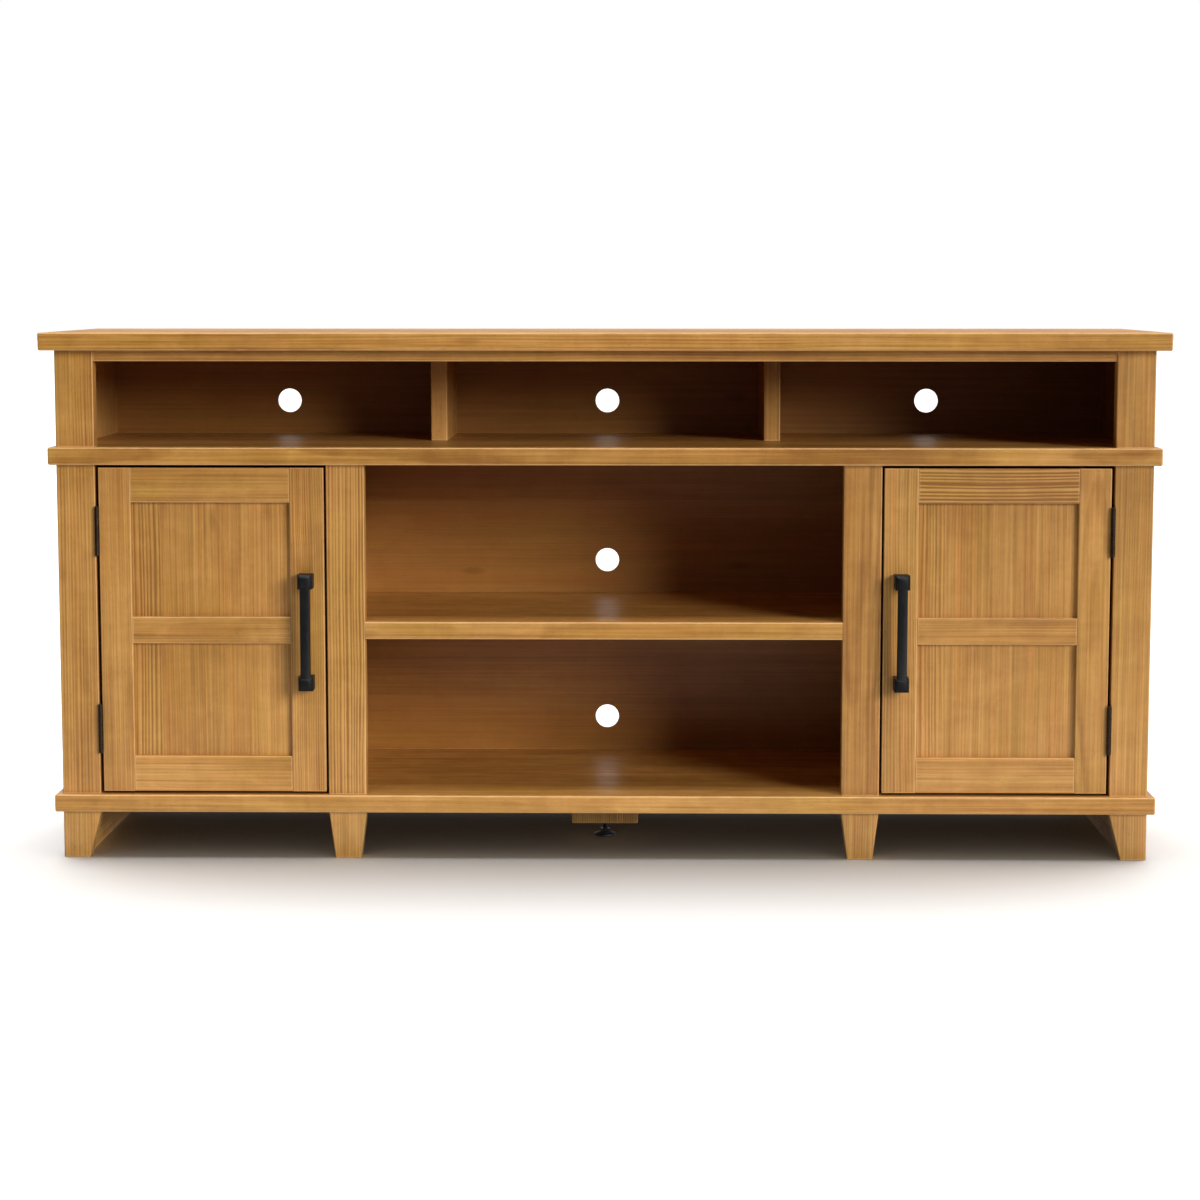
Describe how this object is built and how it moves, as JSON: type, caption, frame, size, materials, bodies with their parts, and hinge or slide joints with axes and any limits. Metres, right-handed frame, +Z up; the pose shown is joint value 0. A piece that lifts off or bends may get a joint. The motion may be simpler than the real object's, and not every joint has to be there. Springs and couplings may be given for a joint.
{
  "type": "media cabinet",
  "caption": "Low wooden media cabinet with open cubbies above a shelved centre bay flanked by inset framed doors with square bar pulls.",
  "frame": {"origin": "middle of the footprint, handles included, at floor level", "axes": "+X to the right of a person facing the cabinet, along its length; +Y from its front to its back; +Z up"},
  "size_m": [1.524, 0.424, 0.72],
  "materials": {
    "wood_board": "golden-brown stained solid wood, satin lacquer",
    "wood_panel": "golden-brown stained wood panel, satin lacquer",
    "wood_back": "stained plywood back, thin lacquer",
    "black_metal": "satin black powder coat",
    "hinge_metal": "dark oil-rubbed bronze",
    "leveller_steel": "zinc-plated steel",
    "leveller_rubber": "matt black moulded pad",
    "catch_plastic": "brown moulded plastic"
  },
  "bodies": {
    "cabinet": {"top_board": "wood_board", "waist_board": "wood_board", "base_board": "wood_board", "centre_shelf": "wood_board", "top_front_rail": "wood_board", "upper_post_left": "wood_board", "corner_post_left": "wood_board", "mid_post_left": "wood_board", "corner_foot_left": "wood_board", "mid_foot_left": "wood_board", "upper_side_left": "wood_panel", "side_panel_left": "wood_panel", "partition_left": "wood_panel", "divider_left": "wood_panel", "side_foot_left": "wood_panel", "side_shelf_left": "wood_panel", "catch_left": "catch_plastic", "hinge_upper_left_post_leaf": "hinge_metal", "hinge_upper_left_pin": "hinge_metal", "hinge_lower_left_post_leaf": "hinge_metal", "hinge_lower_left_pin": "hinge_metal", "upper_post_right": "wood_board", "corner_post_right": "wood_board", "mid_post_right": "wood_board", "corner_foot_right": "wood_board", "mid_foot_right": "wood_board", "upper_side_right": "wood_panel", "side_panel_right": "wood_panel", "partition_right": "wood_panel", "divider_right": "wood_panel", "side_foot_right": "wood_panel", "side_shelf_right": "wood_panel", "catch_right": "catch_plastic", "hinge_upper_right_post_leaf": "hinge_metal", "hinge_upper_right_pin": "hinge_metal", "hinge_lower_right_post_leaf": "hinge_metal", "hinge_lower_right_pin": "hinge_metal", "upper_back_panel": "wood_back", "lower_back_panel": "wood_back", "centre_block": "wood_panel"},
    "door_left": {"door_latch_stile_left": "wood_board", "door_hinge_stile_left": "wood_board", "door_top_rail_left": "wood_board", "door_bottom_rail_left": "wood_board", "door_mid_rail_left": "wood_board", "door_panel_left": "wood_panel", "handle_left": "black_metal", "hinge_upper_left_door_leaf": "hinge_metal", "hinge_lower_left_door_leaf": "hinge_metal"},
    "door_right": {"door_latch_stile_right": "wood_board", "door_hinge_stile_right": "wood_board", "door_top_rail_right": "wood_board", "door_bottom_rail_right": "wood_board", "door_mid_rail_right": "wood_board", "door_panel_right": "wood_panel", "handle_right": "black_metal", "hinge_upper_right_door_leaf": "hinge_metal", "hinge_lower_right_door_leaf": "hinge_metal"},
    "leveller_foot": {"leveller_pad": "leveller_rubber"},
    "leveller_screw": {"leveller_stem": "leveller_steel"}
  },
  "joints": [
    {"name": "door_left_hinge", "type": "hinge", "parent": "cabinet", "child": "door_left", "pos_m": [-0.68915, -0.1847, 0.3148], "axis": [0, 0, -1], "range_deg": [0, 180]},
    {"name": "door_right_hinge", "type": "hinge", "parent": "cabinet", "child": "door_right", "pos_m": [0.68915, -0.1847, 0.3148], "axis": [0, 0, 1], "range_deg": [0, 180]},
    {"name": "leveller_turn", "type": "hinge", "parent": "leveller_foot", "child": "leveller_screw", "pos_m": [0, -0.0135, 0.03], "axis": [0, 0, 1], "range_deg": [0, 3456]},
    {"name": "leveller_travel", "type": "slide", "parent": "cabinet", "child": "leveller_foot", "axis": [0, 0, 1], "range_m": [0, 0.012]}
  ],
  "couplings": [
    {"joint": "leveller_travel", "follows": "leveller_turn", "m_per_rad": 0.00019894}
  ]
}
